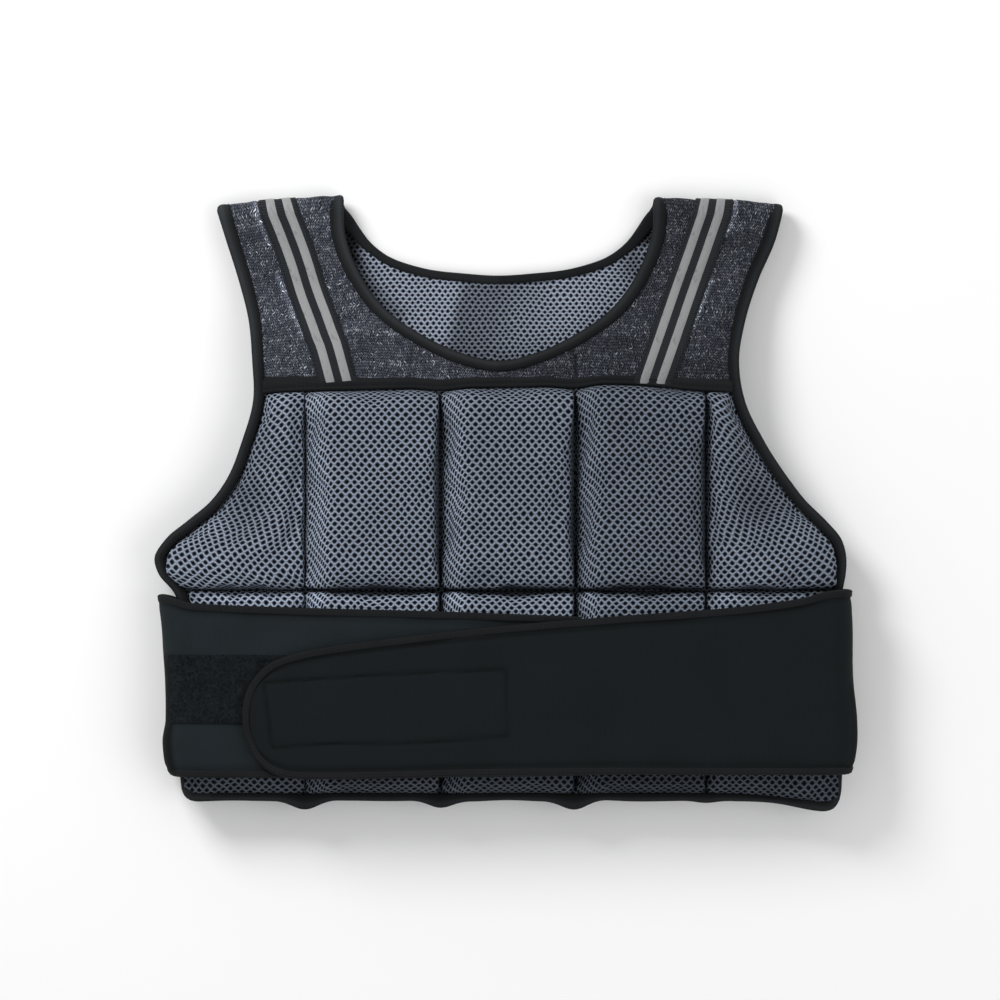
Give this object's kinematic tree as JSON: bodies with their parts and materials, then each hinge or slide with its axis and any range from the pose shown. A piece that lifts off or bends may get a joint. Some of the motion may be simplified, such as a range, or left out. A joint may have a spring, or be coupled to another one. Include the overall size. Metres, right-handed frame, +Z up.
{
  "type": "weighted vest",
  "caption": "Open-sided pullover weighted vest lying on its back, with filled mesh pockets, knitted yoke, bound edges, reflective bands and a wide hook-and-loop belt",
  "frame": {"origin": "bottom centre of the whole vest's box, on the surface that it lies on", "axes": "X across the chest, Y from the hem to the neck, Z up out of the front"},
  "size_m": [0.5558, 0.487, 0.0673],
  "materials": {
    "air_mesh": "spacer mesh with a lattice of small dark holes",
    "heather_knit": "matt heather knit with light specks",
    "binding_tape": "matt ribbed tape",
    "webbing": "matt flat weave",
    "reflective_tape": "smooth grey reflective",
    "neoprene": "matt, finely textile-faced",
    "loop_pile": "fuzzy loop pile"
  },
  "bodies": {
    "root": {"front_panel": "air_mesh", "back_panel": "air_mesh", "front_yoke": "heather_knit", "back_yoke": "heather_knit", "front_yoke_seam": "binding_tape", "back_yoke_seam": "binding_tape", "left_side_binding": "binding_tape", "right_side_binding": "binding_tape", "front_hem_binding": "binding_tape", "back_hem_binding": "binding_tape", "neck_binding": "binding_tape", "belt_base": "neoprene", "belt_flap": "neoprene", "belt_base_rim": "binding_tape", "belt_flap_rim": "binding_tape", "loop_patch": "loop_pile", "hook_patch": "loop_pile", "left_band": "webbing", "left_stripe_first": "reflective_tape", "left_stripe_second": "reflective_tape", "right_band": "webbing", "right_stripe_first": "reflective_tape", "right_stripe_second": "reflective_tape", "front_pocket_upper_1": "air_mesh", "front_pocket_upper_2": "air_mesh", "front_pocket_upper_3": "air_mesh", "front_pocket_upper_4": "air_mesh", "front_pocket_upper_5": "air_mesh", "front_pocket_lower_1": "air_mesh", "front_pocket_lower_2": "air_mesh", "front_pocket_lower_3": "air_mesh", "front_pocket_lower_4": "air_mesh", "front_pocket_lower_5": "air_mesh", "back_pocket_upper_1": "air_mesh", "back_pocket_upper_2": "air_mesh", "back_pocket_upper_3": "air_mesh", "back_pocket_upper_4": "air_mesh", "back_pocket_upper_5": "air_mesh", "back_pocket_lower_1": "air_mesh", "back_pocket_lower_2": "air_mesh", "back_pocket_lower_3": "air_mesh", "back_pocket_lower_4": "air_mesh", "back_pocket_lower_5": "air_mesh"}
  },
  "joints": []
}
